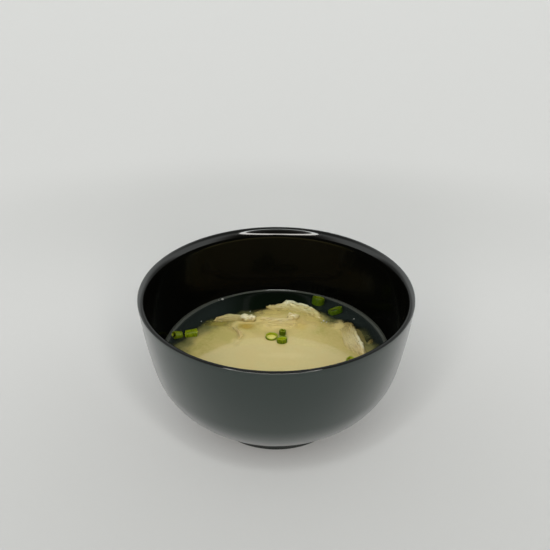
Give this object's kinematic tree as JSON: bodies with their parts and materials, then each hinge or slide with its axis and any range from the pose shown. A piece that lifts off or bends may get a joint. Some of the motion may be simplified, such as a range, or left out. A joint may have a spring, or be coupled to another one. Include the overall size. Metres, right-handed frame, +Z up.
{
  "type": "bowl of chicken noodle soup",
  "caption": "Round black lacquered soup bowl on a foot ring, filled to half its height with cloudy chicken broth, with torn chicken and spring onion slices breaking the surface.",
  "frame": {"origin": "centre of the foot ring's base, on the surface that the bowl stands on", "axes": "+Z up; +Y from the eater's side of the bowl to its far side; +X to the eater's right"},
  "size_m": [0.115, 0.115, 0.0625],
  "materials": {
    "black_lacquer": "black lacquer, satin outside and glossy inside",
    "cloudy_broth": "wet, cloudy cream in the middle and clear and dark towards the back and the sides",
    "poached_chicken": "moist torn fibres, cream to pale tan",
    "spring_onion": "moist leaf, yellow-green inside and deep green outside"
  },
  "bodies": {
    "root": {"bowl": "black_lacquer", "broth": "cloudy_broth", "chicken_left": "poached_chicken", "chicken_curl": "poached_chicken", "chicken_middle": "poached_chicken", "chicken_back": "poached_chicken", "chicken_right": "poached_chicken", "chicken_flake": "poached_chicken", "scallion_ring": "spring_onion", "scallion_tube": "spring_onion", "scallion_low": "spring_onion", "scallion_left": "spring_onion", "scallion_left_2": "spring_onion", "scallion_back": "spring_onion", "scallion_right": "spring_onion", "scallion_near": "spring_onion"}
  },
  "joints": []
}
